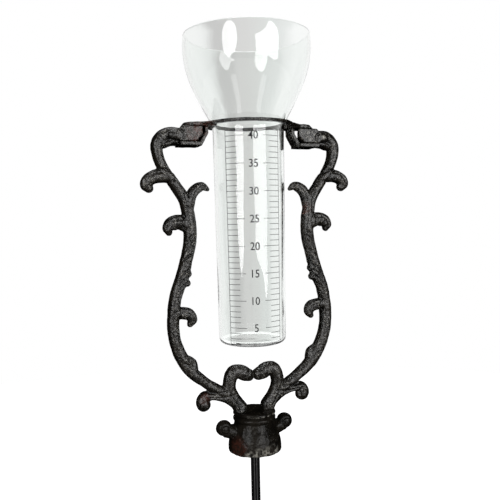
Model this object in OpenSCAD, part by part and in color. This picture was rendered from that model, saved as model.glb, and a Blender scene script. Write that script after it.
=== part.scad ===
// Manual rain gauge: a glass gauge hanging in the ring of a cast-iron scroll holder on a ground stake.
// Millimetres. +Z is up, the scale faces -Y, and the origin is on the stake's axis at ground level.

/* [Stake] */
// Diameter of the round steel rod
rod_d = 6; // [5:0.5:8]
// Length of rod pushed into the ground, down to the tip
ground_depth = 230; // [150:10:300]
// Height of the bell's rim above the ground
head_z = 650; // [500:10:900]
// Length of the sharpened end of the rod
tip_len = 25; // [15:1:40]
// Height of the lower end of the joining sleeve above the ground
sleeve_z = 195; // [150:5:250]
// Length of the sleeve that joins the two rods
sleeve_len = 42; // [30:1:60]
// Outside diameter of the sleeve
sleeve_d = 10; // [9:0.5:12]

/* [Bell socket] */
// Radius of the bell's rim
bell_r = 17.4; // [16:0.1:19]
// Height of the bell casting
bell_h = 24; // [22:0.5:26]
// Radius of the collar plate on top of the bell
collar_r = 14; // [13:0.1:15]
// Thickness of the collar plate
collar_t = 2.5; // [2:0.1:4]
// Radius of the ball on each horn
horn_ball_r = 5.2; // [4:0.1:6]

/* [Scroll arms] */
// Distance of the screws in the arms' feet from the axis
foot_x = 9.6; // [9:0.1:10.5]
// Distance from the axis to the end of the right arm's block
right_block_x = 34.2; // [33:0.1:35.5]
// Distance from the axis to the end of the left arm's block
left_block_x = 32.3; // [32:0.1:35.5]
// Half the depth, front to back, of the blocks that carry the ring
block_half_depth = 8.5; // [7:0.5:10]
// Facets round each arm
arm_fn = 18; // [14:2:24]

/* [Ring carrier] */
// Inside radius of the ring
ring_r = 24.6; // [24.5:0.1:25]
// Radial width of the ring
ring_w = 4; // [3:0.5:6]
// Thickness of the ring
ring_t = 2; // [1.5:0.1:2.5]
// Height of the ring's underside above the bell's rim
ring_z = 210.9; // [210.5:0.1:211.3]
// Thickness of the ears
ear_t = 2.5; // [2.3:0.1:2.6]
// Distance of the ear screws from the axis
ear_screw_x = 37.5; // [36:0.5:40]

/* [Glass gauge] */
// Outside radius of the measuring tube at its top
tube_r = 23; // [22:0.1:23.4]
// Outside radius of the measuring tube at its floor
tube_base_r = 21.7; // [21:0.1:22.5]
// Outside radius of the cup
cup_r = 41.2; // [40:0.1:43]
// Wall of the glass
wall = 1.8; // [1.5:0.1:2.2]
// Thickness of the tube's floor
floor_t = 2.2; // [2:0.1:5]
// Whole length of the glass
glass_len = 197; // [190:1:205]
// How far the tube's floor hangs below the ring's top face
tube_drop = 141.4; // [135:0.1:145]

/* [Scale] */
// Height on the tube that stands for one millimetre of rain
rain_mm = 3.4; // [3.2:0.05:3.6]
// First graduation, in millimetres of rain
first_mark = 2; // [1:1:4]
// Last graduation, in millimetres of rain
last_mark = 41; // [36:1:41]
// Height of the 5 mm graduation above the tube's floor
mark_5_z = 12.4; // [12:0.1:16]
// Turn of the scale away from the front, towards the left
scale_turn = 12; // [0:1:30]
// Half the angle between the two ladders of graduations
ladder_half = 45.5; // [40:0.5:50]
// Width of a printed line
line_w = 0.35; // [0.25:0.05:0.5]

/* [Hidden] */

$fn = 64;
iron = [0.16, 0.13, 0.12];
steel = [0.10, 0.10, 0.11];
bright_steel = [0.55, 0.55, 0.57];
ink = [0.20, 0.20, 0.22];
clear_glass = [0.80, 0.88, 0.88, 0.35];

rod_r = rod_d / 2;
thread_r = rod_r - 0.5;       // rod ends that screw into the sleeve
fit_gap = 0.05;               // radial clearance of a screw or shaft in its hole
seat_gap = 0.05;              // clearance between faces that are clamped together
arm_cap_fn = 14;              // facets round the arms' rounded ends
turn_gap = 0.3;               // clearance between the bell's boss and the washer

// M4 screws
m4_r = 2;
m4_clear_r = 2.2;
ear_head_r = 3.9;             // countersunk head
ear_screw_len = 9.5;
foot_head_r = 3.1;            // pan head
foot_head_t = 2.4;
foot_screw_top = 32.5;        // above the bell's rim

// M6 lock nut and washer under the bell's boss
nut_flats = 10;
nut_t = 5;
washer_r = 6;
washer_t = 1.2;

// bell, measured up from its rim
bell_roof_z = 15;
bell_cavity_r = 12.9;
bell_mouth_r = 14.3;
boss_r = 6.2;
boss_z = 8;
socket_depth = 14;
rod_in_socket = 12;
washer_z = boss_z - turn_gap - washer_t;
nut_z = washer_z - seat_gap - nut_t;

foot_z = bell_h + collar_t;   // the arms' feet stand here
ring_top = ring_z + ring_t;
ear_z = 209.8;                // underside of the ears
ear_top = ear_z + ear_t;
lip_z = 197.7;                // underside of the lip below the arm's block
lip_top = 200.1;
tube_z = ring_top - tube_drop;
neck_len = 5;                 // height over which the tube widens to its neck

// Scroll arm on the +X side. Each point is [x, z, half width, half depth], z above the bell's rim.
stem = [[46, 204.6, 4.2, 6.5], [54, 204.4, 4.5, 5.6], [59.3, 199.5, 4, 5.2], [59.2, 191.5, 3.4, 5],
        [55.3, 182.5, 3.4, 5], [48.5, 173, 3.5, 5], [42.9, 163.5, 3.7, 5], [40.5, 151.5, 4.1, 5],
        [40.3, 139.5, 4, 5], [42.9, 127.5, 3.8, 5], [46.3, 115, 4.3, 5], [50.4, 104, 3.8, 4.8],
        [52.3, 91, 3.9, 4.6], [52, 78, 3.8, 4.5], [48, 66, 4.1, 4.5], [41.5, 55.5, 4, 4.5],
        [32, 47.2, 3.4, 4.5], [20.5, 39.5, 3.5, 4.5], [12.5, 32.5, 4.1, 4.6], [9.6, 27, 4.2, 4.7]];
upper_outer_leaf = [[54.5, 179.2, 4.3, 4.8], [60.3, 179.2, 4.4, 4.5], [65.5, 177.5, 3.9, 4.1],
                    [67.3, 174, 3.4, 3.6], [66, 170.7, 1.9, 2.6]];
upper_inner_leaf = [[41, 160, 3.8, 4.6], [39.1, 166.5, 3.5, 4.3], [36, 170.8, 3.4, 4],
                    [31.6, 172.7, 2.8, 3.4], [28, 170.8, 1.3, 2]];
middle_leaf = [[42, 149, 5.2, 4.9], [47.5, 150.7, 4.6, 4.5], [51.8, 149.6, 4.1, 4.1],
               [54, 146.6, 3.2, 3.5], [54.2, 143.7, 1.7, 2.3]];
lower_curl = [[51, 93.5, 4, 4.5], [46.3, 93.3, 3.9, 4.2], [42.2, 92.2, 3.8, 3.9],
              [40.3, 89, 3.3, 3.6], [41.7, 85.9, 1.9, 2.6]];
thorn = [[45, 63.5, 3.4, 4.2], [40.3, 62.3, 1.9, 3], [40.2, 58.5, 2.9, 3.6], [41, 55, 3.6, 4.2]];
heart_lobe = [[9.2, 29, 4.5, 4.6], [13.9, 35.1, 4.5, 4.6], [16.6, 42.3, 4.2, 4.6], [15.9, 48.8, 4.3, 4.6],
              [13.4, 52.6, 4.5, 4.6], [9.8, 53, 4.4, 4.6], [6, 51.4, 4.8, 4.6], [2.9, 50.4, 2.8, 4.2]];
ball_leaf = [[12, 31.5, 3.8, 4.4], [17.5, 35, 3, 4.2], [23, 37.2, 2.6, 4], [28.5, 38.5, 2.7, 4],
             [33, 38.6, 3.6, 4], [34.8, 35.8, 4.2, 4.3], [34.2, 33.6, 4.5, 4.5]];
bumps = [[41.9, 118, 1.9, 3.4], [42.3, 112.3, 1.9, 3.4]];

// Catmull-Rom curve through the points of a path, with n steps between two points
function blend(a, b, c, d, t) =
    0.5 * (2 * b + (c - a) * t + (2 * a - 5 * b + 4 * c - d) * t * t + (3 * b - a - 3 * c + d) * t * t * t);
function curve(path, n) = [
    for (i = [0:len(path) - 2], k = [0:n - 1])
        blend(path[max(i - 1, 0)], path[i], path[i + 1], path[min(i + 2, len(path) - 1)], k / n),
    path[len(path) - 1]
];

// Cubic Bezier point, and its direction
function bezier(p, t) =
    pow(1 - t, 3) * p[0] + 3 * t * pow(1 - t, 2) * p[1] + 3 * t * t * (1 - t) * p[2] + pow(t, 3) * p[3];
function bezier_dir(p, t) =
    pow(1 - t, 2) * (p[1] - p[0]) + 2 * t * (1 - t) * (p[2] - p[1]) + t * t * (p[3] - p[2]);
function inward(d) = [-d[1], d[0]] / norm(d);
// Outside radius of the tapered tube at a height above its floor
function tube_radius(z) = tube_base_r + (tube_r - tube_base_r) * z / (tube_drop - neck_len);
function inside(p, t) = bezier(p, t) + wall * inward(bezier_dir(p, t));

module blob(p) {
    translate([p[0], 0, p[1]]) scale([p[2], p[3], p[2]]) sphere(r = 1, $fn = arm_cap_fn);
}

// Ellipse of points round the path's point p, square to the direction d
function ring(p, d) = [
    for (k = [0:arm_fn - 1])
        let (a = 360 * k / arm_fn, side = p[2] * cos(a) / norm(d))
            [p[0] + side * d[1], p[3] * sin(a), p[1] - side * d[0]]
];

// Strand of metal swept along a path, with n steps between two points and a rounded tip
module strand(path, n) {
    points = curve(path, n);
    last = len(points) - 1;
    ends = [[for (k = [0:arm_fn - 1]) k], [for (k = [arm_fn - 1:-1:0]) last * arm_fn + k]];
    sides = [
        for (i = [0:last - 1], k = [0:arm_fn - 1])
            let (next = (k + 1) % arm_fn)
                [i * arm_fn + k, (i + 1) * arm_fn + k, (i + 1) * arm_fn + next, i * arm_fn + next]
    ];
    rings = [
        for (i = [0:last])
            let (way = points[min(i + 1, last)] - points[max(i - 1, 0)])
                each ring(points[i], [way[0], way[1]])
    ];
    polyhedron(rings, concat(ends, sides));
    hull() {
        blob(points[last - 1]);
        blob(points[last]);
    }
}

// One scroll arm: block, stem, leaves, half of the heart and foot
module scroll_arm(block_x) {
    block_top = ear_z - seat_gap;
    block_z = lip_top + 0.2;
    block = [[block_x, block_top], [block_x, 204.8], [36.2, block_z], [46.5, block_z], [46.5, block_top]];
    difference() {
        union() {
            rotate([90, 0, 0])
                linear_extrude(2 * block_half_depth, center = true)
                    polygon(block);
            for (side = [-1, 1])
                translate([51.3, side * 5.3, 204.4]) scale([4.6, 1.5, 2.8]) sphere(r = 1, $fn = arm_cap_fn);
            strand(stem, 2);
            strand(upper_outer_leaf, 2);
            strand(upper_inner_leaf, 2);
            strand(middle_leaf, 2);
            strand(lower_curl, 2);
            strand(thorn, 2);
            strand(heart_lobe, 2);
            strand(ball_leaf, 2);
            for (p = bumps) blob(p);
        }
        // flat sole of the foot
        translate([-10, -20, foot_z + seat_gap - 20]) cube([40, 40, 20]);
        // tapped holes for the ear screw and the foot screw
        translate([ear_screw_x, 0, ear_top - ear_screw_len - 1]) cylinder(r = m4_r + fit_gap, h = 12);
        translate([foot_x, 0, foot_z - 1]) cylinder(r = m4_r + fit_gap, h = foot_screw_top - foot_z + 1.5);
    }
}

module right_arm() {
    color(iron) translate([0, 0, head_z]) scroll_arm(right_block_x);
}

module left_arm() {
    color(iron) translate([0, 0, head_z]) mirror([1, 0, 0]) scroll_arm(left_block_x);
}

// Ring with two round-ended ears. A hook and a lip under each ear wrap the end of the arm's block.
module ring_carrier() {
    ear_centre = 34;
    ear_flare = 2.3;
    hook_half_depth = 5.5;
    lip_end = 46.5;
    hook = [[28, ear_z], [28, 205.6], [32.4, lip_z], [35, lip_z], [35, lip_top], [33.9, lip_top],
            [30.2, 206.2], [30.2, ear_z]];
    flank = [[21, -19], [33, -block_half_depth], [33, block_half_depth], [21, 19]];
    color(iron) translate([0, 0, head_z]) difference() {
        union() {
            translate([0, 0, ring_z]) cylinder(r = ring_r + ring_w, h = ring_t);
            for (turn = [0, 180]) rotate([0, 0, turn]) {
                translate([22, -block_half_depth, ear_z])
                    cube([ear_centre - 22, 2 * block_half_depth, ear_t]);
                intersection() {
                    translate([ear_centre, 0, ear_z])
                        cylinder(r1 = block_half_depth + ear_flare, r2 = block_half_depth, h = ear_t);
                    translate([ear_centre, -block_half_depth, ear_z])
                        cube([2 * block_half_depth, 2 * block_half_depth, ear_t]);
                }
                translate([0, 0, ring_z]) linear_extrude(ear_top - ring_z) polygon(flank);
                rotate([90, 0, 0]) linear_extrude(2 * hook_half_depth, center = true) polygon(hook);
                translate([33, -block_half_depth, lip_z])
                    cube([lip_end - 33, 2 * block_half_depth, lip_top - lip_z]);
            }
        }
        translate([0, 0, ear_z - 1]) cylinder(r = ring_r, h = ring_t + 4);
        for (side = [-1, 1]) translate([side * ear_screw_x, 0, 0]) {
            translate([0, 0, ear_z - 1]) cylinder(r = m4_clear_r, h = ear_t + 2);
            translate([0, 0, ear_top - 2.05]) cylinder(r1 = m4_clear_r, r2 = ear_head_r + 0.15, h = 2.06);
        }
    }
}

// Countersunk screws that hold the ears down on the arms
module carrier_screws() {
    color(bright_steel) translate([0, 0, head_z]) for (side = [-1, 1]) {
        translate([side * ear_screw_x, 0, ear_top - ear_screw_len]) difference() {
            union() {
                cylinder(r = m4_r, h = ear_screw_len - 1.9);
                translate([0, 0, ear_screw_len - 1.9]) cylinder(r1 = m4_r, r2 = ear_head_r, h = 1.9);
            }
            translate([-3, -0.4, ear_screw_len - 0.9]) cube([6, 0.8, 1]);
        }
    }
}

// Round plate that the arms' feet stand on
module collar_plate() {
    edge = collar_t / 2;
    color(iron) translate([0, 0, head_z + bell_h]) difference() {
        union() {
            cylinder(r = collar_r - edge, h = collar_t);
            translate([0, 0, edge])
                rotate_extrude() translate([collar_r - edge, 0]) circle(r = edge, $fn = 32);
        }
        for (side = [-1, 1]) translate([side * foot_x, 0, -1]) cylinder(r = m4_clear_r, h = collar_t + 2);
    }
}

// Bell with two ball-ended horns and a tapped boss for the stake
module bell_socket() {
    flare = [[13.1, 19.6], [13.8, 14], [bell_r - 0.3, 12], [bell_r, 3]];
    bead_z = 21.6;
    bead_r = 1.7;
    color(iron) translate([0, 0, head_z]) difference() {
        union() {
            rotate_extrude()
                polygon(concat([[0, bell_h - 0.05], [12.6, bell_h - 0.05], [13.1, 19.6]],
                               [for (i = [1:8]) bezier(flare, i / 8)],
                               [[bell_r, 1], [bell_r - 0.8, 0], [0, 0]]));
            translate([0, 0, bead_z]) rotate_extrude() translate([12.3, 0]) circle(r = bead_r, $fn = 32);
            for (turn = [0, 180]) rotate([0, 0, turn]) {
                translate([10, 0, 12.6]) rotate([0, 78, 0]) cylinder(r1 = 5.4, r2 = 4.3, h = 11);
                translate([21.1, 0, 16.7]) sphere(r = horn_ball_r);
            }
        }
        // cavity round the boss
        difference() {
            translate([0, 0, -1]) cylinder(r1 = bell_mouth_r, r2 = bell_cavity_r, h = bell_roof_z + 1);
            translate([0, 0, boss_z]) cylinder(r = boss_r, h = bell_roof_z);
        }
        translate([0, 0, boss_z - 1]) cylinder(r = rod_r + fit_gap, h = socket_depth + 1);
        for (side = [-1, 1]) translate([side * foot_x, 0, 1]) cylinder(r = m4_clear_r, h = bell_h);
    }
}

// Pan-head screws that go up through bell and collar into the arms' feet
module foot_screws() {
    color(bright_steel) translate([0, 0, head_z]) for (side = [-1, 1]) {
        translate([side * foot_x, 0, bell_roof_z - seat_gap - foot_head_t]) difference() {
            union() {
                cylinder(r = foot_head_r, h = foot_head_t);
                cylinder(r = m4_r, h = foot_screw_top - bell_roof_z + foot_head_t);
            }
            translate([-4, -0.4, -1]) cube([8, 0.8, 2]);
        }
    }
}

// Upper rod, from the sleeve to the bell's boss
module stake_upper() {
    shoulder = sleeve_z + sleeve_len;
    threaded = sleeve_len / 2 - 1;
    color(steel) {
        translate([0, 0, shoulder - threaded]) cylinder(r = thread_r, h = threaded + 1);
        translate([0, 0, shoulder]) cylinder(r = rod_r, h = head_z + boss_z + rod_in_socket - shoulder);
    }
}

module lock_washer() {
    color(bright_steel) translate([0, 0, head_z + washer_z]) difference() {
        cylinder(r = washer_r, h = washer_t);
        translate([0, 0, -1]) cylinder(r = rod_r + 0.2, h = washer_t + 2);
    }
}

module lock_nut() {
    color(bright_steel) translate([0, 0, head_z + nut_z]) difference() {
        cylinder(r = nut_flats / 2 / cos(30), h = nut_t, $fn = 6);
        translate([0, 0, -1]) cylinder(r = rod_r + fit_gap, h = nut_t + 2);
    }
}

// Sleeve that joins the two rods
module stake_sleeve() {
    edge = 0.8;
    color(steel) translate([0, 0, sleeve_z]) difference() {
        union() {
            cylinder(r1 = sleeve_d / 2 - edge, r2 = sleeve_d / 2, h = edge);
            translate([0, 0, edge]) cylinder(r = sleeve_d / 2, h = sleeve_len - 2 * edge);
            translate([0, 0, sleeve_len - edge])
                cylinder(r1 = sleeve_d / 2, r2 = sleeve_d / 2 - edge, h = edge);
        }
        translate([0, 0, -1]) cylinder(r = thread_r + fit_gap, h = sleeve_len + 2);
    }
}

// Lower rod with its sharpened end
module stake_lower() {
    color(steel) {
        translate([0, 0, -ground_depth]) cylinder(r1 = 0.6, r2 = rod_r, h = tip_len);
        translate([0, 0, tip_len - ground_depth]) cylinder(r = rod_r, h = sleeve_z + ground_depth - tip_len);
        translate([0, 0, sleeve_z]) cylinder(r = thread_r, h = sleeve_len / 2 - 1);
    }
}

// Goblet-shaped cup that narrows into the measuring tube
module gauge_glass() {
    steps = 14;
    neck_z = tube_drop;
    rim_z = glass_len;
    lip = wall / 2;
    neck_r = ring_r - 0.3;
    neck = [[tube_r, neck_z - neck_len], [tube_r + 0.05, neck_z - 3], [neck_r - 0.4, neck_z - 1.4],
            [neck_r, neck_z]];
    bowl = [[neck_r, neck_z], [neck_r + 3.7, neck_z + 9.6], [cup_r + 0.1, neck_z + 25.6],
            [cup_r, neck_z + 49.6]];
    outer = concat([for (i = [0:5]) bezier(neck, i / 6)], [for (i = [0:steps]) bezier(bowl, i / steps)]);
    inner = concat([for (i = [0:5]) inside(neck, i / 6)], [for (i = [1:steps]) inside(bowl, i / steps)]);
    rim_r = cup_r - 0.4 - lip;
    corner = 2.4;
    bore_r = tube_base_r - wall;
    color(clear_glass) translate([0, 0, head_z + tube_z])
        rotate_extrude($fn = 96)
            polygon(concat(
                [[0, 0]],
                [for (a = [0:15:90]) [tube_base_r - corner + corner * sin(a), corner * (1 - cos(a))]],
                outer,
                [for (a = [0:30:180]) [rim_r + lip * cos(a), rim_z - lip + lip * sin(a)]],
                [for (i = [len(inner) - 1:-1:0]) inner[i]],
                [for (a = [0:15:90]) [bore_r - corner * (1 - cos(a)), floor_t + corner * (1 - sin(a))]],
                [[0, floor_t]]));
}

// One printed line on the tube: centre angle, lower and upper height, angular length, ink from r1 to r2
module arc_line(angle, z1, z2, sweep, r1, r2) {
    low = tube_radius(z1);
    high = tube_radius(z2);
    rotate([0, 0, angle - sweep / 2])
        rotate_extrude(angle = sweep, $fn = 96)
            polygon([[low + r1, z1], [low + r2, z1], [high + r2, z2], [high + r1, z2]]);
}

// Two ladders of graduations with a longer line every fifth one
module scale_marks() {
    front = 270 - scale_turn;
    short_sweep = 20;
    long_sweep = 30;
    post_sweep = 0.9;
    bottom = mark_5_z + (first_mark - 5) * rain_mm;
    top = mark_5_z + (last_mark - 5) * rain_mm;
    half_w = line_w / 2;
    color(ink) translate([0, 0, head_z + tube_z]) for (side = [-1, 1]) {
        arc_line(front + side * ladder_half, bottom - 0.5, top + 0.5, post_sweep, 0.1, 0.28);
        for (n = [first_mark:last_mark]) {
            sweep = n % 5 == 0 ? long_sweep : short_sweep;
            z = mark_5_z + (n - 5) * rain_mm;
            arc_line(front + side * (ladder_half - sweep / 2), z - half_w, z + half_w, sweep, 0.13, 0.24);
        }
    }
}

gauge_glass();
scale_marks();
ring_carrier();
carrier_screws();
left_arm();
right_arm();
collar_plate();
bell_socket();
foot_screws();
stake_upper();
lock_washer();
lock_nut();
stake_sleeve();
stake_lower();
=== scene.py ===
import bpy
import math
import numpy as np
from mathutils import Matrix, Vector


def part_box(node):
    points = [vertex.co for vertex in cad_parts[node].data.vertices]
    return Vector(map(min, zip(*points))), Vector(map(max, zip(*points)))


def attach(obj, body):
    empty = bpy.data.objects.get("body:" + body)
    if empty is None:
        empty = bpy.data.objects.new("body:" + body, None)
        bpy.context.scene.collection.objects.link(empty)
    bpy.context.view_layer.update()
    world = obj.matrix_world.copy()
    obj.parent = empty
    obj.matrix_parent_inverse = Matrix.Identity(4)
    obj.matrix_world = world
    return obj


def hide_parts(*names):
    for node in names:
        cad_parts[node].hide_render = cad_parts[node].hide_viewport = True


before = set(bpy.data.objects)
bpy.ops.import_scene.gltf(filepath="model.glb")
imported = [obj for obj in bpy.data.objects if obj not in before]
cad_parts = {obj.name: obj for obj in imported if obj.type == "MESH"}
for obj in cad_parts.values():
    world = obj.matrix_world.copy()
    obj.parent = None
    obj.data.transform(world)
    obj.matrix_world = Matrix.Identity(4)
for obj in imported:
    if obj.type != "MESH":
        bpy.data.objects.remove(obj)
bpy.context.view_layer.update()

MM = 0.001
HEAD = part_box("bell_socket")[0].z / MM          # the bell's rim, mm above the ground
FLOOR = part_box("gauge_glass")[0].z / MM         # the tube's outer floor
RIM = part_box("gauge_glass")[1].z / MM            # the cup's top edge
CUP_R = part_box("gauge_glass")[1].x / MM


# ---------------------------------------------------------------- camera

EYE = Vector((-0.1384, -0.400, 0.8032))         # metres
YAW, PITCH, ROLL = math.radians(-19.02), math.radians(-2.94), math.radians(-1.24)
LENS = 46.98                                    # mm, on a 36 mm sensor


def make_camera():
    forward = Matrix.Rotation(YAW, 3, "Z") @ Vector((0, math.cos(PITCH), math.sin(PITCH)))
    right = Matrix.Rotation(YAW, 3, "Z") @ Vector((1, 0, 0))
    up = right.cross(forward)
    side = math.cos(ROLL) * right + math.sin(ROLL) * up
    top = -math.sin(ROLL) * right + math.cos(ROLL) * up
    data = bpy.data.cameras.new("camera")
    data.sensor_width = 36
    data.lens = LENS
    data.clip_start = 0.01
    data.clip_end = 50
    cam = bpy.data.objects.new("camera", data)
    cam.matrix_world = Matrix((
        (side.x, top.x, -forward.x, EYE.x),
        (side.y, top.y, -forward.y, EYE.y),
        (side.z, top.z, -forward.z, EYE.z),
        (0, 0, 0, 1),
    ))
    bpy.context.scene.collection.objects.link(cam)
    bpy.context.scene.camera = cam


# ---------------------------------------------------------------- mesh helpers

def mesh_object(name, verts, faces, smooth=True):
    """Mesh object from vertices in millimetres."""
    me = bpy.data.meshes.new(name)
    me.from_pydata((np.asarray(verts, float) * MM).tolist(), [], faces)
    me.update()
    if smooth:
        me.polygons.foreach_set("use_smooth", [True] * len(me.polygons))
    ob = bpy.data.objects.new(name, me)
    bpy.context.scene.collection.objects.link(ob)
    return ob


def join(parts):
    """One list of vertices and one of faces from several (verts, faces) pairs."""
    verts, faces, start = [], [], 0
    for v, f in parts:
        verts.append(np.asarray(v, float))
        faces += [[i + start for i in face] for face in f]
        start += len(v)
    return np.vstack(verts), faces


def grid_faces(rows, cols):
    """Quads between neighbouring rings of points."""
    faces = []
    for i in range(rows - 1):
        a, b = i * cols, (i + 1) * cols
        for k in range(cols):
            n = (k + 1) % cols
            faces.append([a + k, b + k, b + n, a + n])
    return faces


def lathe(profile, sides, wobble):
    """Closed surface of revolution. The profile runs from the axis round to the axis.

    wobble(angle, height) is added to the radius."""
    profile = np.asarray(profile, float)
    ang = np.arange(sides) * 2 * math.pi / sides
    body = profile[1:-1]
    r = np.repeat(body[:, 0][:, None], sides, 1)
    z = np.repeat(body[:, 1][:, None], sides, 1)
    r = r + wobble(ang[None, :], z)
    verts = np.stack([r * np.cos(ang), r * np.sin(ang), z], -1).reshape(-1, 3)
    faces = [f[::-1] for f in grid_faces(len(body), sides)]
    first, last = len(verts), len(verts) + 1
    verts = np.vstack([verts, [[0, 0, profile[0, 1]], [0, 0, profile[-1, 1]]]])
    end = (len(body) - 1) * sides
    for k in range(sides):
        n = (k + 1) % sides
        faces.append([first, n, k])
        faces.append([last, end + k, end + n])
    return verts, faces


def bezier(p, steps, start=0):
    """Points of a cubic curve and the unit normals on its left."""
    p = np.asarray(p, float)
    t = (np.arange(start, steps + 1) / steps)[:, None]
    point = (1 - t) ** 3 * p[0] + 3 * t * (1 - t) ** 2 * p[1] + 3 * t * t * (1 - t) * p[2] + t ** 3 * p[3]
    way = (1 - t) ** 2 * (p[1] - p[0]) + 2 * t * (1 - t) * (p[2] - p[1]) + t * t * (p[3] - p[2])
    inward = np.stack([-way[:, 1], way[:, 0]], -1) / np.linalg.norm(way, axis=1)[:, None]
    return point, inward


def arc(cx, cz, r, a0, a1, steps):
    a = np.radians(np.linspace(a0, a1, steps + 1))
    return np.stack([cx + r * np.cos(a), cz + r * np.sin(a)], -1)


def catmull(path, steps):
    """Smooth curve through every point of the path."""
    p = np.asarray(path, float)
    out = []
    for i in range(len(p) - 1):
        a, b, c, d = p[max(i - 1, 0)], p[i], p[i + 1], p[min(i + 2, len(p) - 1)]
        for k in range(steps):
            t = k / steps
            out.append(0.5 * (2 * b + (c - a) * t + (2 * a - 5 * b + 4 * c - d) * t * t
                              + (3 * b - a - 3 * c + d) * t ** 3))
    out.append(p[-1])
    return np.array(out)


def sweep(path, steps, sides=28, power=2.3, caps=6):
    """Tube along [x, z, half width, half depth] with rounded ends, in the XZ plane.

    power above 2 squares its section off a little."""
    p = catmull(path, steps)
    way = np.gradient(p[:, :2], axis=0)
    way /= np.linalg.norm(way, axis=1)[:, None]
    rings = []
    a = np.arange(sides) * 2 * math.pi / sides
    ca = np.sign(np.cos(a)) * np.abs(np.cos(a)) ** (2 / power)
    sa = np.sign(np.sin(a)) * np.abs(np.sin(a)) ** (2 / power)

    def ring(centre, w, d, along):
        x = centre[0] + w * ca * along[1]
        z = centre[1] - w * ca * along[0]
        return np.stack([x, d * sa, z], -1)

    for k in range(caps, 0, -1):
        t = k / (caps + 0.35) * math.pi / 2
        rings.append(ring(p[0, :2] - way[0] * p[0, 2] * math.sin(t), p[0, 2] * math.cos(t),
                          p[0, 3] * math.cos(t), way[0]))
    for q, w in zip(p, way):
        rings.append(ring(q[:2], q[2], q[3], w))
    for k in range(1, caps + 1):
        t = k / (caps + 0.35) * math.pi / 2
        rings.append(ring(p[-1, :2] + way[-1] * p[-1, 2] * math.sin(t), p[-1, 2] * math.cos(t),
                          p[-1, 3] * math.cos(t), way[-1]))
    verts = np.vstack(rings)
    n = len(rings)
    faces = grid_faces(n, sides)
    faces.append(list(range(sides)))
    faces.append([(n - 1) * sides + k for k in range(sides - 1, -1, -1)])
    return verts, faces


def ellipsoid(c, r, rows=16, cols=28):
    t = np.linspace(-math.pi / 2, math.pi / 2, rows + 1)[1:-1]
    a = np.arange(cols) * 2 * math.pi / cols
    x = np.cos(t)[:, None] * np.cos(a)[None, :] * r[0]
    y = np.cos(t)[:, None] * np.sin(a)[None, :] * r[1]
    z = np.sin(t)[:, None] * np.ones(cols)[None, :] * r[2]
    verts = np.stack([x, y, z], -1).reshape(-1, 3)
    poles = [[0, 0, -r[2]], [0, 0, r[2]]]
    verts = np.vstack([verts, poles]) + np.asarray(c, float)
    n = len(t) * cols
    faces = [f[::-1] for f in grid_faces(len(t), cols)]
    for k in range(cols):
        m = (k + 1) % cols
        faces.append([n, m, k])
        faces.append([n + 1, n - cols + k, n - cols + m])
    return verts, faces


def prism(outline, y0, y1):
    """Outline in the XZ plane, extruded from y0 to y1."""
    n = len(outline)
    verts = [[x, y0, z] for x, z in outline] + [[x, y1, z] for x, z in outline]
    faces = [list(range(n)), list(range(2 * n - 1, n - 1, -1))]
    faces += [[k, k + n, (k + 1) % n + n, (k + 1) % n] for k in range(n)]
    return np.array(verts, float), faces


def lattice_noise(p, size, seed):
    """Smooth value noise from -1 to 1 at points p, with cells of the given size."""
    q = np.asarray(p, float) / size
    cell = np.floor(q).astype(np.int64)
    f = q - cell
    f = f * f * (3 - 2 * f)
    total = np.zeros(len(q))
    for dx in (0, 1):
        for dy in (0, 1):
            for dz in (0, 1):
                h = ((cell[:, 0] + dx) * 73856093) ^ ((cell[:, 1] + dy) * 19349663)
                h = (h ^ ((cell[:, 2] + dz) * 83492791) ^ (seed * 2654435761)) & 0x7FFFFFFF
                h = (h * 1103515245 + 12345) & 0x7FFFFFFF
                h = (h ^ (h >> 13)) * 1274126177 & 0x7FFFFFFF
                value = (h & 0xFFFF) / 32767.5 - 1
                w = ((f[:, 0] if dx else 1 - f[:, 0]) * (f[:, 1] if dy else 1 - f[:, 1])
                     * (f[:, 2] if dz else 1 - f[:, 2]))
                total += w * value
    return total


def coords(me):
    """Vertices of a mesh in millimetres."""
    co = np.empty(len(me.vertices) * 3)
    me.vertices.foreach_get("co", co)
    return co.reshape(-1, 3) / MM


def set_coords(me, co):
    me.vertices.foreach_set("co", (co * MM).ravel())
    me.update()


def normals(me):
    no = np.empty(len(me.vertices) * 3)
    me.vertices.foreach_get("normal", no)
    return no.reshape(-1, 3)


def fuse(ob, voxel, smooth):
    """Voxel remesh and smoothing, applied, so that joined pieces become one casting."""
    m = ob.modifiers.new("remesh", "REMESH")
    m.mode = "VOXEL"
    m.voxel_size = voxel * MM
    s = ob.modifiers.new("smooth", "SMOOTH")
    s.factor = 0.5
    s.iterations = smooth
    dg = bpy.context.evaluated_depsgraph_get()
    me = bpy.data.meshes.new_from_object(ob.evaluated_get(dg))
    ob.modifiers.clear()
    ob.data = me
    me.polygons.foreach_set("use_smooth", [True] * len(me.polygons))


def cast_skin(ob, grain, swell, seed, extra=None):
    """The uneven skin of a sand casting, pushed into the mesh itself.

    grain and swell are the heights in mm of its fine and coarse unevenness."""
    me = ob.data
    co, no = coords(me), normals(me)
    d = swell * lattice_noise(co, 5.5, seed) + 0.6 * swell * lattice_noise(co, 2.6, seed + 1)
    d += grain * lattice_noise(co, 1.1, seed + 2) + 0.5 * grain * lattice_noise(co, 0.7, seed + 3)
    if extra is not None:
        d += extra(co, no)
    set_coords(me, co + no * d[:, None])


def near_line(co, line):
    """Distance in the XZ plane from each point to a line through the given points."""
    best = np.full(len(co), 1e9)
    xz = co[:, [0, 2]]
    for a, b in zip(line[:-1], line[1:]):
        a, b = np.asarray(a, float), np.asarray(b, float)
        ab = b - a
        t = np.clip(((xz - a) @ ab) / (ab @ ab), 0, 1)
        best = np.minimum(best, np.linalg.norm(xz - a - t[:, None] * ab, axis=1))
    return best


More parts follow.
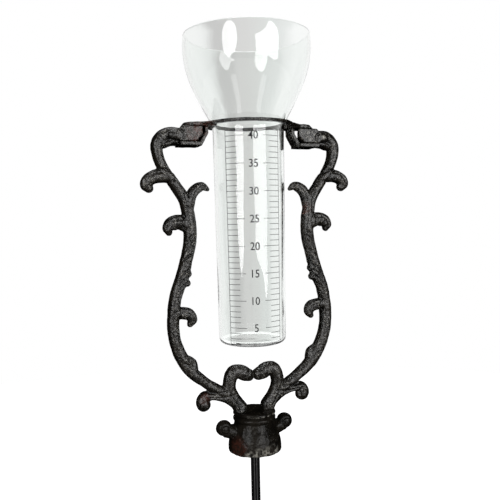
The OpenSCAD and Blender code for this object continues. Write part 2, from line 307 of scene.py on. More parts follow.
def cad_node(node):
    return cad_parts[node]


def copy_of_node(node, name):
    ob = bpy.data.objects.new(name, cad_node(node).data.copy())
    bpy.context.scene.collection.objects.link(ob)
    return ob


# ---------------------------------------------------------------- material helpers

class Graph:
    """Short way to write a material's nodes."""

    def __init__(self, name):
        self.mat = bpy.data.materials.new(name)
        self.mat.use_nodes = True
        self.tree = self.mat.node_tree
        self.tree.nodes.clear()
        self.out = self.tree.nodes.new("ShaderNodeOutputMaterial")

    def add(self, kind, props=None, **sockets):
        """New node. A socket is given by its name, with _ for a space, or as i and its number."""
        n = self.tree.nodes.new("ShaderNode" + kind)
        for key, value in (props or {}).items():
            setattr(n, key, value)
        for key, value in sockets.items():
            numbered = key[0] == "i" and key[1:].isdigit()
            self.put(n.inputs[int(key[1:]) if numbered else key.replace("_", " ")], value)
        return n

    def put(self, socket, value):
        if isinstance(value, bpy.types.NodeSocket):
            self.tree.links.new(value, socket)
        elif isinstance(value, tuple) and len(value) == 3 and socket.type == "RGBA":
            socket.default_value = (*value, 1)
        else:
            socket.default_value = value

    def math(self, op, a, b=0.0, clamp=False):
        n = self.add("Math", {"operation": op, "use_clamp": clamp}, i0=a, i1=b)
        return n.outputs[0]

    def times(self, a, b):
        return self.math("MULTIPLY", a, b)

    def plus(self, a, b):
        return self.math("ADD", a, b)

    def mix(self, factor, a, b):
        n = self.add("Mix", {"data_type": "RGBA"})
        self.put(n.inputs[0], factor)
        self.put(n.inputs[6], a)
        self.put(n.inputs[7], b)
        return n.outputs[2]

    def ramp(self, value, low, high, a=0.0, b=1.0):
        """Smooth step from a to b as the value goes from low to high."""
        n = self.add("MapRange", {"interpolation_type": "SMOOTHSTEP"}, i0=value, i1=low, i2=high, i3=a, i4=b)
        return n.outputs[0]

    def noise(self, vector, scale, detail=3.0, rough=0.55):
        n = self.add("TexNoise", None, Vector=vector, Scale=scale, Detail=detail, Roughness=rough)
        return n.outputs[0]

    def where(self):
        """Position in metres, fixed to the object."""
        return self.add("TexCoord").outputs["Object"]


def near_spots(g, position, spots):
    """Mask that is 1 at each spot (point in mm, radius in mm) and fades out."""
    total = None
    for point, radius in spots:
        away = g.add("VectorMath", {"operation": "DISTANCE"}, i0=position, i1=tuple(c * MM for c in point))
        mask = g.ramp(away.outputs["Value"], radius * 0.35 * MM, radius * MM, 1.0, 0.0)
        total = mask if total is None else g.math("MAXIMUM", total, mask)
    return total


def iron(name, rust=(), dust_and_sparkle=1.0, tooth=1.0, gloss=0.36, wear_and_highlight_spots=()):
    """Black-brown cast iron: glossy grainy skin, grey grains lit up as painted highlight on the faces that
    turn to the front and back, painted shade that darkens the hollows to black, rust.

    dust scales the grey grains, which are partly a grey dusting and partly painted sparkle highlight, tooth
    the height of the grain. rust and scuffs are lists of spots; scuffs are wear spots brightened with
    painted highlight."""
    g = Graph(name)
    at = g.where()
    pointy = g.add("NewGeometry").outputs["Pointiness"]
    broad = g.noise(at, 110.0, 3.0)
    grain = g.noise(at, 460.0, 3.0, 0.6)
    fine = g.noise(at, 1150.0, 2.5, 0.55)
    base = g.mix(g.ramp(broad, 0.35, 0.65), (0.0030, 0.0026, 0.0020), (0.0085, 0.0070, 0.0052))
    # painted light: the grey grains are brightened on faces that turn to the front or the back, where the
    # lamps fall on a bar, and fade to its flanks
    facing = g.add("SeparateXYZ", None, Vector=g.add("TexCoord").outputs["Normal"])
    lit_face = g.ramp(g.math("ABSOLUTE", facing.outputs[1]), 0.55, 0.97)
    grains = g.times(g.ramp(fine, 0.50, 0.64), g.ramp(grain, 0.42, 0.62))
    grains = g.times(grains, g.ramp(g.noise(at, 170.0, 2.0), 0.34, 0.62, 0.25, 1.0))
    amount = g.times(grains, g.plus(g.times(lit_face, 0.85), 0.04))
    amount = g.times(amount, dust_and_sparkle)
    # painted highlight: spots of wear brightened with dense grey grains where the lamps shine on them
    if wear_and_highlight_spots:
        speckle_mask = g.ramp(g.noise(at, 330.0, 4.0, 0.65), 0.44, 0.62)
        wear_and_highlight = g.times(near_spots(g, at, wear_and_highlight_spots), speckle_mask)
        amount = g.plus(amount, g.times(wear_and_highlight, 0.75))
    # the grains' grey colour is partly a grey dusting and partly painted sparkle highlight
    colour = g.mix(g.math("MULTIPLY", amount, 1.0, clamp=True), base, (0.222, 0.212, 0.186))
    # painted shade: concave hollows, found by pointiness, are darkened almost to black
    hollow = g.ramp(pointy, 0.44, 0.495, 1.0, 0.0)
    colour = g.mix(g.times(hollow, 0.9), colour, (0.0014, 0.0013, 0.0012))
    if rust:
        mask = near_spots(g, at, rust)
        patch = g.times(mask, g.ramp(g.noise(at, 420.0, 4.0, 0.7), 0.36, 0.62))
        red = g.mix(g.noise(at, 700.0), (0.020, 0.0065, 0.0045), (0.050, 0.018, 0.012))
        colour = g.mix(patch, colour, red)
    rough = g.plus(g.times(broad, 0.14), 0.19)
    height = g.plus(g.times(grain, 0.8), g.times(fine, 0.35))
    bump = g.add("Bump", None, Strength=1.0, Distance=0.00062 * tooth, Height=height)
    b = g.add("BsdfPrincipled", None, Base_Color=colour, Roughness=rough, Normal=bump.outputs[0])
    b.inputs["Specular IOR Level"].default_value = gloss
    g.put(g.out.inputs[0], b.outputs[0])
    return g.mat


def clear_glass():
    g = Graph("clear_glass")
    at = g.where()
    stretch = g.add("Mapping", None, Vector=at)
    stretch.inputs["Scale"].default_value = (1.0, 1.0, 0.35)
    waves = g.noise(stretch.outputs[0], 60.0, 2.0, 0.4)
    streak = g.noise(stretch.outputs[0], 420.0, 2.0, 0.5)
    smudge = g.ramp(g.noise(at, 150.0, 4.0, 0.6), 0.50, 0.80)
    bump = g.add("Bump", None, Strength=0.35, Distance=0.0006,
                 Height=g.plus(waves, g.times(streak, 0.03)))
    rough = g.times(smudge, 0.05)
    b = g.add("BsdfPrincipled", None, Roughness=rough, Normal=bump.outputs[0])
    b.inputs["Base Color"].default_value = (0.930, 0.948, 0.936, 1)
    b.inputs["IOR"].default_value = 1.48
    b.inputs["Transmission Weight"].default_value = 1.0
    g.put(g.out.inputs[0], b.outputs[0])
    return g.mat


def scale_ink():
    g = Graph("scale_ink")
    at = g.where()
    wear = g.ramp(g.noise(at, 900.0, 3.0), 0.30, 0.60)
    colour = g.mix(wear, (0.040, 0.040, 0.042), (0.010, 0.010, 0.011))
    b = g.add("BsdfPrincipled", None, Base_Color=colour,
              Roughness=g.plus(g.times(wear, 0.2), 0.7))
    b.inputs["Specular IOR Level"].default_value = 0.1
    g.put(g.out.inputs[0], b.outputs[0])
    return g.mat


def zinc():
    g = Graph("zinc_steel")
    at = g.where()
    grain = g.noise(at, 1500.0, 3.0)
    spots = g.ramp(g.noise(at, 260.0, 4.0, 0.7), 0.52, 0.66)
    colour = g.mix(spots, g.mix(grain, (0.30, 0.30, 0.31), (0.52, 0.52, 0.53)), (0.13, 0.085, 0.06))
    bump = g.add("Bump", None, Strength=0.4, Distance=0.0001, Height=grain)
    b = g.add("BsdfPrincipled", None, Base_Color=colour, Normal=bump.outputs[0],
              Metallic=g.math("SUBTRACT", 1.0, g.times(spots, 0.8)),
              Roughness=g.plus(g.times(grain, 0.25), 0.28))
    g.put(g.out.inputs[0], b.outputs[0])
    return g.mat


def black_rod():
    """Gloss black enamel over a drawn rod: fine lengthwise marks and a few scuffed patches."""
    g = Graph("black_rod")
    at = g.where()
    drawn = g.add("Mapping", None, Vector=at)
    drawn.inputs["Scale"].default_value = (1.0, 1.0, 0.03)
    lines = g.noise(drawn.outputs[0], 2600.0, 2.0, 0.5)
    peel = g.noise(at, 500.0, 2.0, 0.4)
    scuff = g.times(g.ramp(g.noise(at, 45.0, 3.0), 0.50, 0.66),
                    g.ramp(g.noise(at, 1400.0, 3.0), 0.52, 0.70))
    colour = g.mix(scuff, g.mix(peel, (0.003, 0.003, 0.003), (0.007, 0.0065, 0.007)), (0.055, 0.046, 0.042))
    bump = g.add("Bump", None, Strength=0.20, Distance=0.00005,
                 Height=g.plus(g.times(lines, 0.4), peel))
    b = g.add("BsdfPrincipled", None, Base_Color=colour, Normal=bump.outputs[0],
              Roughness=g.plus(g.times(scuff, 0.35), 0.09))
    g.put(g.out.inputs[0], b.outputs[0])
    return g.mat


def paint(ob, mat):
    ob.data.materials.clear()
    ob.data.materials.append(mat)


def finish_piece(ob, mat, body, slot, *nodes):
    """Material and body of a piece, and the CAD nodes that it replaces. slot is not used."""
    paint(ob, mat)
    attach(ob, body)
    if nodes:
        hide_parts(*nodes)


# ---------------------------------------------------------------- glass

TUBE_R = 23.0           # outside the tube, at its top
BASE_R = 21.7           # outside the tube, at its floor
WALL = 1.8
NECK_Z = 141.4          # from the tube's floor up to the neck
NECK_R = 24.3
NECK_LEN = 5            # height of the flare below the neck
FLOOR_T = 2.0
CORNER = 3.6            # radius round the foot of the tube
DISH_R = 19             # the floor's faces are domed up by a fraction of a millimetre


def tube_radius(z):
    """Outside radius of the tapered tube, z millimetres above its floor."""
    return BASE_R + (TUBE_R - BASE_R) * np.clip(z / (NECK_Z - NECK_LEN), 0, 1)


def domed(radii, rise):
    """Points of a floor that is rise higher on the axis than DISH_R away from it."""
    return [[r, rise * (1 - (r / DISH_R) ** 2)] for r in radii]


def glass_profile():
    """Outline of the glass, from the axis under the floor to the axis on top of it."""
    top = RIM - FLOOR
    lip = WALL / 2
    neck = [[TUBE_R, NECK_Z - NECK_LEN], [TUBE_R + 0.05, NECK_Z - 3],
            [NECK_R - 0.4, NECK_Z - 1.4], [NECK_R, NECK_Z]]
    bowl = [[NECK_R, NECK_Z], [NECK_R + 3.7, NECK_Z + 9.6],
            [CUP_R, NECK_Z + 25.6], [CUP_R - 0.1, NECK_Z + 49.6]]
    neck_o, neck_n = bezier(neck, 10)
    bowl_o, bowl_n = bezier(bowl, 36, 1)
    rim_r = CUP_R - 0.5 - lip
    bore = BASE_R - WALL
    small = CORNER - WALL
    straight = np.linspace(CORNER + 2, NECK_Z - NECK_LEN - 1, 26)
    outer = np.vstack([
        domed(np.linspace(0, BASE_R - CORNER - 0.4, 8), 0.25),
        arc(BASE_R - CORNER, CORNER, CORNER, -90, 0, 12),
        np.stack([tube_radius(straight), straight], -1),
        neck_o, bowl_o,
        arc(rim_r, top - lip, lip, 0, 180, 10),
    ])
    inner = np.vstack([
        (bowl_o + WALL * bowl_n)[::-1],
        (neck_o + WALL * neck_n)[::-1],
        np.stack([tube_radius(straight) - WALL, straight], -1)[1:-1][::-1],
        arc(bore - small, FLOOR_T + small, small, 0, -90, 12),
        domed(np.linspace(bore - small - 0.5, 0, 8), 0.3) + np.array([0, FLOOR_T]),
    ])
    profile = np.vstack([outer, inner])
    profile[:, 1] += FLOOR
    return profile


def hand_blown(ang, z):
    """Slight unevenness of blown glass, in millimetres."""
    return (0.07 * np.sin(2 * ang + 0.021 * z) * np.sin(0.045 * z + 1.1)
            + 0.045 * np.sin(3 * ang - 0.034 * z + 2.0) * np.sin(0.083 * z)
            + 0.02 * np.sin(7 * ang + 0.11 * z) * np.sin(0.19 * z + 0.6))


def make_glass(mat):
    verts, faces = lathe(glass_profile(), 224, hand_blown)
    ob = mesh_object("glass_gauge", verts, faces)
    ob.visible_shadow = False
    finish_piece(ob, mat, "glass", "clear_glass", "gauge_glass")
    return ob


# ---------------------------------------------------------------- printed scale

RAIN = 3.4                      # mm of tube for 1 mm of rain
MARK_5 = 12.4                   # line 5, above the tube's floor
FIRST, LAST = 2, 41             # lines of the scale
FRONT = math.radians(258)       # direction that the numbers face
LADDER = math.radians(45.5)     # from the numbers to the post of each ladder
LINE = 0.30                     # thickness of a line
LONG_LINE, SHORT_LINE = math.radians(30), math.radians(20)
POST_HALF = math.radians(0.42)
PRINT_IN, PRINT_OUT = 0.09, 0.13    # faces of the print, outside the glass
DIGIT_HEIGHT = 4.9
DIGIT_WIDTH = 0.92              # narrowing of the digits


def curved_bar(a0, a1, z0, z1, r0, r1):
    """Printed bar on the tube between two angles and two heights, r0 to r1 outside the glass."""
    n = max(1, int((a1 - a0) * 180 / math.pi / 2))      # steps of about two degrees
    a = np.linspace(a0, a1, n + 1)
    rows = []
    for dr, z in ((r1, z0), (r1, z1), (r0, z1), (r0, z0)):
        r = tube_radius(z - FLOOR) + dr
        rows.append(np.stack([r * np.cos(a), r * np.sin(a), np.full(n + 1, z)], -1))
    verts = np.stack(rows, 1).reshape(-1, 3)
    faces = []
    for i in range(n):
        for k in range(4):
            m = (k + 1) % 4
            faces.append([i * 4 + k, (i + 1) * 4 + k, (i + 1) * 4 + m, i * 4 + m])
    faces.append([3, 2, 1, 0])
    faces.append([n * 4 + k for k in range(4)])
    return verts, faces


def line_z(n):
    """Height of a line of the scale."""
    return FLOOR + MARK_5 + (n - 5) * RAIN


def printed_number(n):
    """A number of the scale wrapped round the tube, centred on the scale's front."""
    curve = bpy.data.curves.new("digits", "FONT")
    curve.body = str(n)
    curve.size = 10
    curve.resolution_u = 6
    curve.offset = 0.045
    curve.extrude = 0.5
    ob = bpy.data.objects.new("digits", curve)
    bpy.context.scene.collection.objects.link(ob)
    dg = bpy.context.evaluated_depsgraph_get()
    me = bpy.data.meshes.new_from_object(ob.evaluated_get(dg))
    co = coords(me)
    bpy.data.objects.remove(ob)
    low, high = co.min(0), co.max(0)
    k = DIGIT_HEIGHT / (high[1] - low[1])
    x = (co[:, 0] - (low[0] + high[0]) / 2) * k * DIGIT_WIDTH
    z = (co[:, 1] - (low[1] + high[1]) / 2) * k + line_z(n)
    out = (co[:, 2] - low[2]) / (high[2] - low[2])
    r = tube_radius(z - FLOOR) + PRINT_IN + (PRINT_OUT - PRINT_IN) * out
    a = FRONT + x / TUBE_R
    faces = [list(p.vertices) for p in me.polygons]
    return np.stack([r * np.cos(a), r * np.sin(a), z], -1), faces


def make_scale(mat):
    parts = []
    for side in (-1, 1):
        post = FRONT + side * LADDER
        parts.append(curved_bar(post - POST_HALF, post + POST_HALF, line_z(FIRST) - LINE / 2,
                                line_z(LAST) + LINE / 2, PRINT_IN, PRINT_OUT + 0.01))
        for n in range(FIRST, LAST + 1):
            z = line_z(n)
            end = post - side * (LONG_LINE if n % 5 == 0 else SHORT_LINE)
            a0, a1 = sorted((post, end))
            parts.append(curved_bar(a0, a1, z - LINE / 2, z + LINE / 2, PRINT_IN, PRINT_OUT))
    ladders = mesh_object("scale_ladders", *join(parts), smooth=False)
    finish_piece(ladders, mat, "glass", "scale_ink", "scale_marks")
    digits = [printed_number(n) for n in range(5, LAST, 5)]
    numbers = mesh_object("scale_numbers", *join(digits), smooth=False)
    finish_piece(numbers, mat, "glass", "scale_ink")


# ---------------------------------------------------------------- scroll arms

# Bars of the right arm as [x, z above the bell's rim, half width, half depth]
STEM = [[46, 204.5, 4.6, 6.5], [54, 204.4, 4.5, 5.6], [59.3, 199.5, 4, 5.2], [59.2, 191.5, 3.4, 5],
        [55.3, 182.5, 3.4, 5], [48.5, 173, 3.5, 5], [42.9, 163.5, 3.7, 5], [40.5, 151.5, 4.1, 5],
        [40.3, 139.5, 4, 5], [42.9, 127.5, 3.8, 5], [46.3, 115, 4.3, 5], [50.4, 104, 3.8, 4.8],
        [52.3, 91, 3.9, 4.6], [52, 78, 3.8, 4.5], [48, 66, 4.1, 4.5], [41.5, 55.5, 4, 4.5],
        [32, 47.2, 3.4, 4.5], [20.5, 39.5, 3.5, 4.5], [12.5, 32.5, 4.1, 4.6], [9.6, 27, 4.2, 4.7]]
LEAVES = [
    # upper outer leaf, upper inner leaf, middle leaf
    [[54.5, 179.2, 4.3, 4.8], [60.3, 179.2, 4.4, 4.5], [65.2, 177.2, 4.1, 4.1], [66.8, 174.0, 4.0, 3.7],
     [65.4, 171.8, 2.9, 3.0]],
    [[41, 160, 3.8, 4.6], [39.1, 166.5, 3.5, 4.3], [36, 170.8, 3.4, 4], [31.6, 172.7, 2.8, 3.4],
     [28, 170.8, 1.3, 2]],
    [[42, 149, 5.2, 4.9], [47.5, 150.7, 4.6, 4.5], [51.8, 149.4, 4.5, 4.1], [54, 146.7, 3.8, 3.6],
     [53.6, 144.3, 2.2, 2.5]],
    # lower curl, thorn
    [[51, 93.5, 4, 4.5], [46.3, 93.3, 3.9, 4.2], [42.2, 92.2, 3.8, 3.9], [40.3, 89, 3.3, 3.6],
     [41.7, 85.9, 1.9, 2.6]],
    [[45, 63.5, 3.4, 4.2], [40.3, 62.3, 1.9, 3], [40.2, 58.5, 2.9, 3.6], [41, 55, 3.6, 4.2]],
    # half of the heart, ball leaf
    [[9.2, 29, 4.5, 4.6], [13.9, 35.1, 4.5, 4.6], [16.6, 42.3, 4.2, 4.6], [15.9, 48.8, 4.3, 4.6],
     [13.4, 52.4, 4.7, 4.6], [9.8, 52.6, 4.7, 4.6], [6.2, 50.9, 4.8, 4.6], [3.6, 49.9, 4.2, 4.4]],
    [[12, 31.5, 3.8, 4.4], [17.5, 35, 3, 4.2], [23, 37.2, 2.6, 4], [28.5, 38.5, 2.7, 4],
     [33, 38.6, 3.6, 4], [34.8, 35.8, 4.2, 4.3], [34.2, 33.6, 4.5, 4.5]],
]
# Knobs on the inside of the stem
BUMPS = [[42.4, 118, 2.6, 3.8], [43.0, 112.2, 2.4, 3.6]]
# Thin fin under the stem beside the block
WEB = [[47.8, 199.8, 1.9, 5.6], [51.5, 199.7, 2.1, 5.4], [55.2, 198.4, 2.3, 4.9]]
# Raised spots on both faces of an arm: centre x, y, z and radii. Oval by the block, ball leaf, heart's end
LOBES = [
    ([49.2, 6.4, 203.8], [4.7, 2.3, 2.8]),
    ([34.4, 3.6, 34.2], [2.9, 1.9, 2.9]),
    ([5.2, 3.4, 50.8], [3.0, 2.0, 2.6]),
]
EAR_Z = 209.8           # underside of the ring's ears, above the bell's rim
LIP_TOP = 200.1         # upper face of the carrier's lips
FOOT_Z = 26.5           # top of the collar plate
BLOCK_DEPTH = 8.4       # half the depth of the blocks
HEART_GAP = 0.15        # half the gap between the halves of the heart
HEART_LOW = 40          # the heart's halves face each other above this height

# Grooves cut into the front and back of an arm: points [x, z], depth, half width
GROOVES = [
    # where leaves leave the stem
    ([[50.5, 181.5], [55, 183], [59, 183.2]], 1.0, 0.7),
    ([[50.2, 176.5], [54.5, 174.6], [60.5, 174.2]], 0.8, 0.7),
    ([[43.8, 167.5], [42.2, 162], [42.3, 156]], 1.0, 0.7),
    ([[44.5, 154.6], [45.5, 151], [45.2, 147]], 1.0, 0.7),
    ([[48.4, 97.0], [47.6, 93.5], [48.6, 89.8]], 1.0, 0.7),
    ([[46.8, 62.0], [43.3, 60.2], [41.8, 58.2]], 0.7, 0.6),
    # hollow behind the rolled edge of each leaf
    ([[58.0, 181.4], [62.0, 181.2], [65.8, 179.0], [67.6, 175.4]], 0.6, 0.7),
    ([[38.6, 163.2], [36.6, 169.0], [32.6, 172.6], [29.8, 172.2]], 0.6, 0.7),
    ([[46.6, 152.4], [50.6, 152.2], [53.6, 149.8], [55.2, 146.4]], 0.6, 0.7),
    ([[46.0, 94.8], [42.4, 94.2], [39.8, 91.6], [39.8, 88.4]], 0.6, 0.6),
    # round the oval on the block's outer end
    ([[46.2, 206.6], [44.6, 205.4], [44.1, 203.6], [44.8, 201.8]], 0.9, 0.5),
    # veins round the waist of the stem
    ([[37.6, 143.5], [40.6, 141.2], [43.2, 137.6]], 1.0, 0.5),
    ([[38.2, 139.8], [41.0, 137.6], [43.8, 133.2]], 0.9, 0.5),
    ([[38.6, 136.4], [41.4, 134.6], [43.2, 131.6]], 0.8, 0.45),
    ([[39.6, 130.4], [42.4, 129.6], [45.6, 126.6]], 1.0, 0.5),
    ([[41.6, 120.8], [45.2, 119.0], [48.6, 114.8]], 1.0, 0.55),
    ([[42.2, 117.0], [45.4, 115.0], [48.8, 110.8]], 0.9, 0.55),
    ([[42.9, 112.8], [46.2, 111.2], [49.4, 107.8]], 0.8, 0.5),
    ([[44.4, 108.6], [47.4, 106.4], [49.2, 102.4]], 0.7, 0.5),
    # heart and ball leaf
    ([[19.5, 41.5], [25.2, 40.6], [31.0, 41.4]], 0.7, 0.55),
    ([[15.0, 38.6], [19.0, 37.6], [24.5, 37.4], [30.4, 38.3]], 0.6, 0.5),
    ([[12.2, 30.0], [16.6, 38.0], [19.0, 44.6], [18.2, 50.6]], 0.5, 0.5),
    ([[3.6, 54.2], [6.4, 50.0], [10.6, 49.2]], 0.6, 0.6),
    ([[31.5, 34.0], [31.3, 36.6], [33.4, 38.6]], 0.6, 0.6),
]


def arm_grooves(sign, seed):
    """Function that gives the cut at each point. Left and right castings differ a little."""

    def depth(co, no):
        q = np.stack([co[:, 0] * sign, co[:, 1], co[:, 2] - HEAD], -1)
        face = np.clip(np.abs(no[:, 1]) * 1.6, 0, 1)
        d = np.zeros(len(q))
        wave = 0.35 * lattice_noise(q, 3.0, seed)
        for line, deep, half in GROOVES:
            away = near_line(q, line)
            d -= face * deep * np.exp(-((away + wave) / half) ** 2)
        return d

    return depth


def make_arm(name, node, sign, block_x, slant, mat, seed):
    """One scroll arm; sign is the side that it stands on, block_x the inner end of its block.

    slant is how much further out the block's end stands at the back than at the front."""
    outline = [[block_x, EAR_Z - 0.1], [block_x, 204.8], [36.2, LIP_TOP + 0.25], [46.2, LIP_TOP + 0.25],
               [48.2, 202], [48.4, 206.4], [44.6, EAR_Z - 0.1]]
    block, block_faces = prism(outline, -BLOCK_DEPTH, BLOCK_DEPTH)
    end = block[:, 0] < 36.0
    block[end, 0] += slant * (block[end, 1] + BLOCK_DEPTH) / (2 * BLOCK_DEPTH)
    parts = [(block, block_faces), sweep(STEM, 10), sweep(WEB, 8)]
    parts += [sweep(leaf, 10) for leaf in LEAVES]
    parts += [ellipsoid([x, 0, z], [w, d, w]) for x, z, w, d in BUMPS]
    parts += [ellipsoid([x, side * y, z], radii) for side in (-1, 1) for (x, y, z), radii in LOBES]
    verts, faces = join(parts)
    verts[:, 2] += HEAD
    if sign < 0:
        verts[:, 0] *= -1
        faces = [f[::-1] for f in faces]
    ob = mesh_object(name, verts, faces)
    fuse(ob, 0.48, 5)
    cast_skin(ob, 0.07, 0.16, seed, arm_grooves(sign, seed))
    # flat sole on the collar, and a straight gap between the halves of the heart
    co = coords(ob.data)
    sole = HEAD + FOOT_Z + 0.05
    co[co[:, 2] < sole, 2] = sole
    inner = (np.abs(co[:, 0]) < HEART_GAP) & (co[:, 2] > HEAD + HEART_LOW)
    co[inner, 0] = HEART_GAP * sign
    set_coords(ob.data, co)
    finish_piece(ob, mat, "holder", "cast_iron", node)


# ---------------------------------------------------------------- castings taken from their CAD shape

BALL_X, BALL_Z = 21.1, 16.7     # centre of each horn's ball
ROD_R = 3.0
# Creases between a ball and its horn and between the horn and the bell, as [x, z]
CREASES = ([[16.2, 19.0], [13.4, 15.4], [12.6, 11.4]], [[17.6, 12.4], [14.6, 9.8]])
VEIN = [[-10.4, 17.2], [-11.6, 13.2], [-14.2, 9.6]]


def bell_marks(co, no):
    """Creases round the balls, a raised vein on the left flank, a battered rim and a clear bore."""
    q = co - [0, 0, HEAD]
    face = np.clip(np.abs(no[:, 1]) * 1.5, 0, 1)
    d = np.zeros(len(q))
    for side in (-1, 1):
        r = np.hypot(q[:, 0] - side * BALL_X, q[:, 2] - BALL_Z)
        turn = np.arctan2(q[:, 2] - BALL_Z, (q[:, 0] - side * BALL_X) * side)
        part = np.clip((turn + 2.4) * 2, 0, 1)
        d -= face * part * 0.55 * np.exp(-((r - 2.9) / 0.45) ** 2)
        for crease in CREASES:
            line = [[side * x, z] for x, z in crease]
            d -= face * 0.5 * np.exp(-(near_line(q, line) / 0.5) ** 2)
    d += face * 0.38 * np.exp(-(near_line(q, VEIN) / 0.55) ** 2)
    rim = np.exp(-((q[:, 2] - 1.2) / 1.6) ** 2)
    bore = np.exp(-((np.hypot(q[:, 0], q[:, 1]) - ROD_R) / 0.7) ** 2)
    return d + 0.28 * rim * lattice_noise(q, 2.2, 5) - 0.5 * bore


def make_casting(name, node, mat, voxel, smooth, seed, grain=0.06, swell=0.10, extra=None):
    """Casting whose shape is the CAD node's own, softened and given an uneven skin."""
    ob = copy_of_node(node, name)
    fuse(ob, voxel, smooth)
    cast_skin(ob, grain, swell, seed, extra)
    finish_piece(ob, mat, "holder", "cast_iron", node)


# ---------------------------------------------------------------- stage and light

def emitter(name, strength):
    """Graph of a white glow."""
    g = Graph(name)
    e = g.add("Emission", None, Color=(1, 1, 1), Strength=strength)
    g.put(g.out.inputs[0], e.outputs[0])
    return g


def dome(name, radius, mat):
    """Inside-out sphere round the whole scene."""
    verts, faces = ellipsoid([0, 0, 800], [radius, radius, radius], 24, 64)
    ob = mesh_object(name, verts, [f[::-1] for f in faces])
    paint(ob, mat)
    ob.visible_diffuse = False
    ob.visible_glossy = False
    ob.visible_shadow = False
    ob.visible_volume_scatter = False
    return ob


def polar(angle, distance, height):
    """Point at an angle to the right of the camera, seen from the object, in metres."""
    out = math.atan2(EYE.y, EYE.x) + math.radians(angle)
    return Vector((distance * math.cos(out), distance * math.sin(out), height))


def softbox(name, angle, distance, foot, outline, radiance):
    """Glowing panel facing the rain gauge, in metres. outline: left edge, right edge, height above foot."""
    centre = polar(angle, distance, foot)
    side = Vector((-centre.y, centre.x, 0)).normalized()
    rows = catmull(outline, 6)
    verts = [(centre + side * edge + Vector((0, 0, h))) / MM for w0, w1, h in rows for edge in (w0, w1)]
    faces = [[2 * i, 2 * i + 1, 2 * i + 3, 2 * i + 2] for i in range(len(rows) - 1)]
    ob = mesh_object(name, verts, faces, smooth=False)
    paint(ob, emitter(name, radiance).mat)
    ob.visible_camera = False
    ob.visible_transmission = False
    ob.visible_shadow = False


def area_light(name, place, size, radiance):
    """Square lamp aimed at the middle of the glass."""
    data = bpy.data.lights.new(name, "AREA")
    data.shape = "RECTANGLE"
    data.size = size
    data.size_y = size
    data.energy = radiance * math.pi * size * size
    ob = bpy.data.objects.new(name, data)
    ob.location = place
    ob.rotation_euler = (Vector((0, 0, 0.79)) - Vector(place)).to_track_quat("-Z", "Y").to_euler()
    ob.visible_camera = False
    bpy.context.scene.collection.objects.link(ob)
    return ob


CARD_SPAN = 5.0         # ramp positions for one unit of sideways slope
# Tones of the card from left to right: sideways slope from the gauge, colour
CARD_TONES = [
    (-0.105, (0.95, 0.95, 0.95)), (-0.082, (0.90, 0.90, 0.90)), (-0.062, (0.66, 0.65, 0.65)),
    (-0.045, (0.65, 0.64, 0.64)), (-0.018, (0.76, 0.745, 0.745)), (0.018, (0.79, 0.785, 0.78)),
    (0.042, (0.83, 0.84, 0.835)), (0.075, (0.89, 0.90, 0.895)), (0.10, (1.0, 1.0, 1.0)),
]


def grey_card(name, front):
    """Glow of a pale wall with a grey card behind the gauge. front is its strength on the camera's side."""
    card = emitter(name, 1.0)
    at = card.where()
    flat = card.add("SeparateXYZ", None, Vector=at)
    away = math.atan2(-EYE.y, -EYE.x)
    along = card.plus(card.times(flat.outputs[0], math.cos(away)),
                      card.times(flat.outputs[1], math.sin(away)))
    across = card.plus(card.times(flat.outputs[0], -math.sin(away)),
                       card.times(flat.outputs[1], math.cos(away)))
    slope = card.times(card.math("DIVIDE", across, along), -1.0)
    tone = card.add("ValToRGB", None, Fac=card.plus(card.times(slope, CARD_SPAN), 0.5))
    ramp = tone.color_ramp
    while len(ramp.elements) < len(CARD_TONES):
        ramp.elements.new(0.5)
    for element, (where, colour) in zip(ramp.elements, CARD_TONES):
        element.position = where * CARD_SPAN + 0.5
        element.color = (*colour, 1)
    emission = card.tree.nodes["Emission"]
    card.put(emission.inputs["Color"], tone.outputs[0])
    card.put(emission.inputs["Strength"], card.ramp(along, -2.0, 1.0, front, 1.0))
    card.mat.cycles.emission_sampling = "NONE"
    return card.mat


def make_backdrops(glass_only):
    """White for the camera, and two grey cards that only glass sees: one through it, one mirrored in it."""
    white = emitter("white_backdrop", 1.0)
    white.mat.cycles.emission_sampling = "NONE"
    seen = dome("backdrop", 4200, white.mat)
    seen.visible_transmission = False
    through = dome("backdrop_through_glass", 4100, grey_card("grey_card", 0.60))
    through.visible_camera = False
    mirrored = dome("backdrop_in_glass", 4000, grey_card("dim_card", 0.10))
    mirrored.visible_camera = False
    mirrored.visible_transmission = False
    mirrored.visible_glossy = True
    mirrored.light_linking.receiver_collection = glass_only


def make_floor():
    """Round pale floor just under the stake's tip. It glows, more so far out, to meet the backdrop."""
    floor = Graph("pale_floor")
    at = floor.where()
    tone = floor.mix(floor.noise(at, 3.0), (0.86, 0.86, 0.85), (0.90, 0.90, 0.90))
    b = floor.add("BsdfPrincipled", None, Base_Color=tone, Roughness=0.7)
    b.inputs["Emission Color"].default_value = (1, 1, 1, 1)
    out = floor.add("VectorMath", {"operation": "LENGTH"}, i0=at)
    floor.put(b.inputs["Emission Strength"], floor.ramp(out.outputs["Value"], 0.5, 1.5, 0.70, 1.1))
    floor.put(floor.out.inputs[0], b.outputs[0])
    floor.mat.cycles.emission_sampling = "NONE"
    n = 96
    a = np.arange(n) * 2 * math.pi / n
    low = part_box("stake_lower")[0].z / MM - 0.3
    verts = [[0, 0, low]] + [[r * math.cos(t), r * math.sin(t), low] for r in (600, 4000) for t in a]
    faces = [[0, 1 + k, 1 + (k + 1) % n] for k in range(n)]
    faces += [[1 + k, 1 + n + k, 1 + n + (k + 1) % n, 1 + (k + 1) % n] for k in range(n)]
    ground = mesh_object("floor", verts, faces)
    paint(ground, floor.mat)
    ground.visible_diffuse = False
    ground.visible_glossy = False


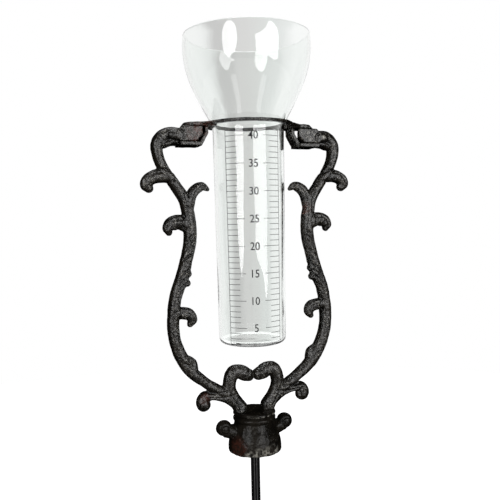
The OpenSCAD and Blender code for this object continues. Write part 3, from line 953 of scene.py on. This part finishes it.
def make_lights():
    """Two shaped softboxes whose reflections stand on the glass, two low strips, two lamps and a dim sky."""
    world = bpy.data.worlds.new("studio")
    world.use_nodes = True
    sky = world.node_tree.nodes["Background"]
    sky.inputs["Color"].default_value = (0.92, 0.96, 1.0, 1)
    sky.inputs["Strength"].default_value = 0.05
    bpy.context.scene.world = world

    # angles: negative is left of the camera
    softbox("softbox_left", -31, 1.1, 0.64,
            [[-0.02, 0.00, 0.0], [-0.10, 0.12, 0.05], [-0.18, 0.22, 0.12], [-0.21, 0.28, 0.26],
             [-0.21, 0.28, 0.52], [-0.17, 0.24, 0.70], [-0.09, 0.14, 0.80], [-0.01, 0.02, 0.84]], 10.0)
    softbox("softbox_right", 35, 1.1, 0.60,
            [[0.26, 0.30, 0.0], [0.20, 0.41, 0.03], [0.04, 0.45, 0.06], [-0.30, 0.45, 0.10],
             [-0.38, 0.45, 0.18], [-0.40, 0.44, 0.33], [-0.40, 0.44, 0.47], [-0.18, 0.43, 0.55],
             [-0.06, 0.42, 0.63], [0.02, 0.34, 0.77], [0.12, 0.20, 0.85]], 8.0)
    strip = [[-0.10, 0.10, 0.0], [-0.11, 0.11, 0.3], [-0.09, 0.09, 0.68]]
    softbox("low_strip_left", -28, 1.0, -0.35, strip, 2.2)
    softbox("low_strip_right", 36, 1.0, -0.35, strip, 2.2)
    area_light("top_light", (0.0, 0.25, 2.2), 0.9, 4.0)
    back = area_light("back_light", polar(160, 1.6, 1.6), 0.8, 2.5)
    back.visible_glossy = False
    back.visible_transmission = False


# ---------------------------------------------------------------- build

bpy.context.scene.view_settings.view_transform = "Standard"
glass_only = bpy.data.collections.new("glass_only")
make_camera()
make_backdrops(glass_only)
make_floor()
make_lights()

# spots of rust, and of wear brightened with painted highlight where the lamps shine: (point in mm, radius in
# mm)
left_rust = [((-36, -8, HEAD + 205), 9), ((-34, -4, HEAD + 38), 5)]
right_rust = [((37, -3, HEAD + 158), 6)]
# painted highlight on the front of the oval pad by the right block
right_pad_highlight = [((49.5, -8, HEAD + 204), 2.0)]
ring_rust = [((-33, -8, HEAD + 211), 12)]
bell_rust = [((-14, -8, HEAD + 5), 9)]
# painted highlights along the front of the bell's rim, partly real wear of the rim
bell_wear_and_highlights = [((-9.7, -16.9, HEAD + 1), 5.5), ((-3.4, -19.2, HEAD + 1.5), 6.5),
               ((3.4, -19.2, HEAD + 2), 6.5), ((8.6, -17.6, HEAD + 2.5), 6.5)]
# painted highlight along the front of the collar's bead
for degrees in range(-125, -39, 7):
    a = math.radians(degrees)
    on_bead = (14.6 * math.cos(a), 14.6 * math.sin(a), HEAD + 24.4 + math.cos(a))
    bell_wear_and_highlights.append((on_bead, 1.5))

left_iron = iron("cast_iron_left", left_rust, 0.85)
right_iron = iron("cast_iron_right", right_rust, 0.85, wear_and_highlight_spots=right_pad_highlight)
ring_iron = iron("cast_iron_ring", ring_rust, 0.7)
bell_iron = iron("cast_iron_bell", bell_rust, 0.18, 0.45, 0.09, bell_wear_and_highlights)
ink_mat = scale_ink()
zinc_mat = zinc()
rod_mat = black_rod()

glass_only.objects.link(make_glass(clear_glass()))
make_scale(ink_mat)
make_arm("scroll_arm_left", "left_arm", -1, 32.4, 0.0, left_iron, 11)
make_arm("scroll_arm_right", "right_arm", 1, 31.7, 6.2, right_iron, 23)
make_casting("ring_casting", "ring_carrier", ring_iron, 0.36, 4, 31)
make_casting("collar_casting", "collar_plate", bell_iron, 0.34, 3, 37)
make_casting("bell_casting", "bell_socket", bell_iron, 0.38, 3, 41, 0.06, 0.14, bell_marks)

for node in ("carrier_screws", "foot_screws", "lock_washer", "lock_nut"):
    paint(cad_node(node), zinc_mat)
for node in ("stake_upper", "stake_lower", "stake_sleeve"):
    paint(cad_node(node), rod_mat)
